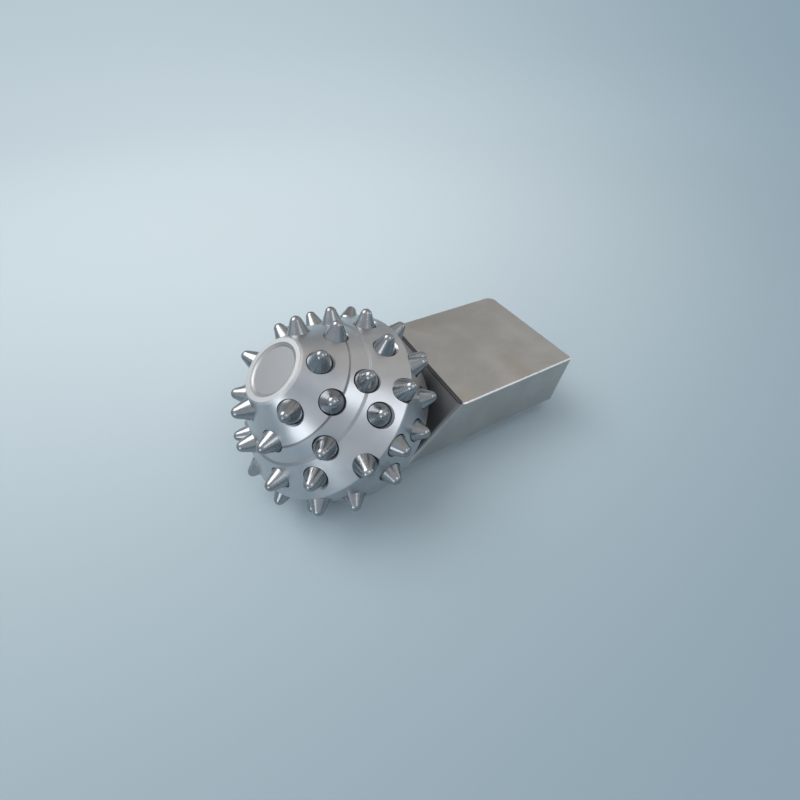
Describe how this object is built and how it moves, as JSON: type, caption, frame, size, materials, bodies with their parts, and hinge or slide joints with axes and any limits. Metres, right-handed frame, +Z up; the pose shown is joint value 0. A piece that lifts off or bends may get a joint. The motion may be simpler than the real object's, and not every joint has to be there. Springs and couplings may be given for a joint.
{
  "type": "single cone roller bit",
  "caption": "Rolling drill cutter: a steel cone set with pointed carbide inserts, turning on the sealed bearing journal of a leg with a flat rectangular shank.",
  "frame": {"origin": "on the floor under the middle of the part's length, in the leg's middle plane, with the part lying as it rests: cone back edge and the shank's far end on the floor", "axes": "+X along the shank away from the cone, +Z up, +Y across the shank to the left of someone who looks along +X"},
  "size_m": [0.1506, 0.0881, 0.0708],
  "materials": {
    "leg_steel": "satin, ground and faintly brushed",
    "cone_steel": "satin, turned",
    "carbide": "polished, dark",
    "weld_metal": "dressed weld",
    "bearing_steel": "ground and polished",
    "bearing_bronze": "fine turned",
    "seal_rubber": "matte",
    "plated_steel": "zinc plated",
    "spring_steel": "oiled black"
  },
  "bodies": {
    "leg_assembly": {"leg": "leg_steel", "ball_retaining_plug": "bearing_steel", "plug_weld": "weld_metal", "reservoir_cap": "plated_steel", "cap_o_ring": "seal_rubber", "cap_snap_ring": "spring_steel", "reservoir_diaphragm": "seal_rubber", "grease_reservoir_cup": "plated_steel", "grease_fill_plug": "plated_steel"},
    "cone_assembly": {"cone_shell": "cone_steel", "back_row_inserts": "carbide", "gauge_row_inserts": "carbide", "heel_row_inserts": "carbide", "inner_heel_inserts": "carbide", "middle_row_inserts": "carbide", "nose_row_inserts": "carbide", "second_row_inserts": "carbide", "upper_gauge_inserts": "carbide", "nose_bushing": "bearing_bronze", "thrust_button": "bearing_steel", "thrust_washer": "bearing_steel", "cone_seal_ring": "seal_rubber"},
    "roller_set": {"main_rollers": "bearing_steel"},
    "ball_set": {"locking_balls": "bearing_steel"}
  },
  "joints": [
    {"name": "cone_spin", "type": "hinge", "parent": "leg_assembly", "child": "cone_assembly", "pos_m": [-0.04173, 0, 0.04565], "axis": [-0.5234, 0, 0.8521], "continuous": true},
    {"name": "roller_circulation", "type": "hinge", "parent": "leg_assembly", "child": "roller_set", "pos_m": [-0.04173, 0, 0.04565], "axis": [-0.5234, 0, 0.8521], "continuous": true},
    {"name": "ball_circulation", "type": "hinge", "parent": "leg_assembly", "child": "ball_set", "pos_m": [-0.04173, 0, 0.04565], "axis": [-0.5234, 0, 0.8521], "continuous": true}
  ],
  "couplings": [
    {"joint": "roller_circulation", "follows": "cone_spin", "ratio": 0.5665},
    {"joint": "ball_circulation", "follows": "cone_spin", "ratio": 0.6129}
  ]
}
